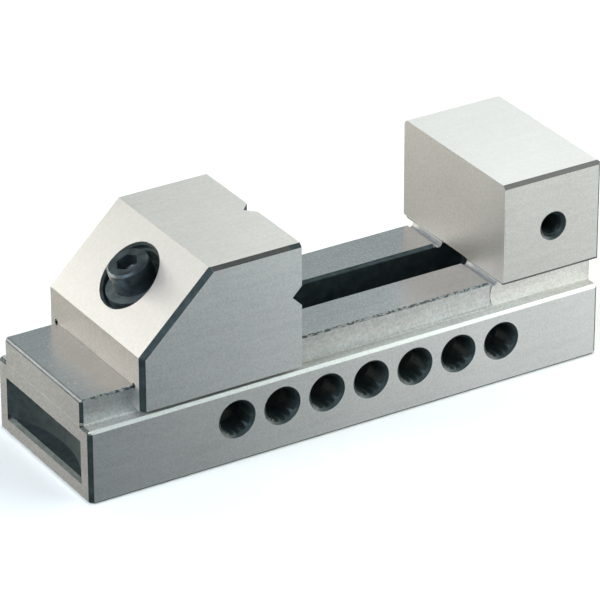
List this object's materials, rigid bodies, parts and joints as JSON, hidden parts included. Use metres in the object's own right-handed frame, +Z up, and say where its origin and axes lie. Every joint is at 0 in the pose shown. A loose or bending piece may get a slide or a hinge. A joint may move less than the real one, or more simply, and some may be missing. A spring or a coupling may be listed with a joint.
{
  "type": "precision vise",
  "caption": "Narrow ground-steel tool vise: fixed jaw on a railed bed, saddle jaw pulled down by a tilting socket screw whose cross nut seats in a row of notches.",
  "frame": {"origin": "middle of the underside, under the middle of the bed", "axes": "+X along the bed towards the fixed jaw, +Y across the bed, +Z up"},
  "size_m": [0.115, 0.036, 0.0426],
  "materials": {
    "ground_body": "satin ground",
    "ground_jaw": "satin ground",
    "black_washer": "black oxide",
    "black_screw": "black oxide",
    "spring_steel": "blued spring steel",
    "turned_steel": "turned"
  },
  "bodies": {
    "vise": {"vise_body": "ground_body"},
    "jaw": {"movable_jaw": "ground_jaw"},
    "washer": {"ball_washer": "black_washer"},
    "screw": {"clamp_screw": "black_screw", "retaining_ring": "spring_steel"},
    "nut": {"cross_nut": "turned_steel"}
  },
  "joints": [
    {"name": "jaw_slide", "type": "slide", "parent": "vise", "child": "jaw", "axis": [1, 0, 0], "range_m": [0, 0.04]},
    {"name": "screw_swivel", "type": "hinge", "parent": "jaw", "child": "washer", "pos_m": [-0.03701, 0, 0.03418], "axis": [0, -1, 0], "range_deg": [0, 2.8]},
    {"name": "screw_turn", "type": "hinge", "parent": "washer", "child": "screw", "pos_m": [-0.03701, 0, 0.03418], "axis": [0.3737, 0, -0.9275], "range_deg": [0, 1487.7]},
    {"name": "nut_lift", "type": "slide", "parent": "washer", "child": "nut", "axis": [-0.3737, 0, 0.9275], "range_m": [0, 0.00331]}
  ],
  "couplings": [
    {"joint": "screw_turn", "follows": "nut_lift", "rad_per_m": 7854},
    {"joint": "screw_swivel", "follows": "nut_lift", "rad_per_m": 14.801}
  ]
}
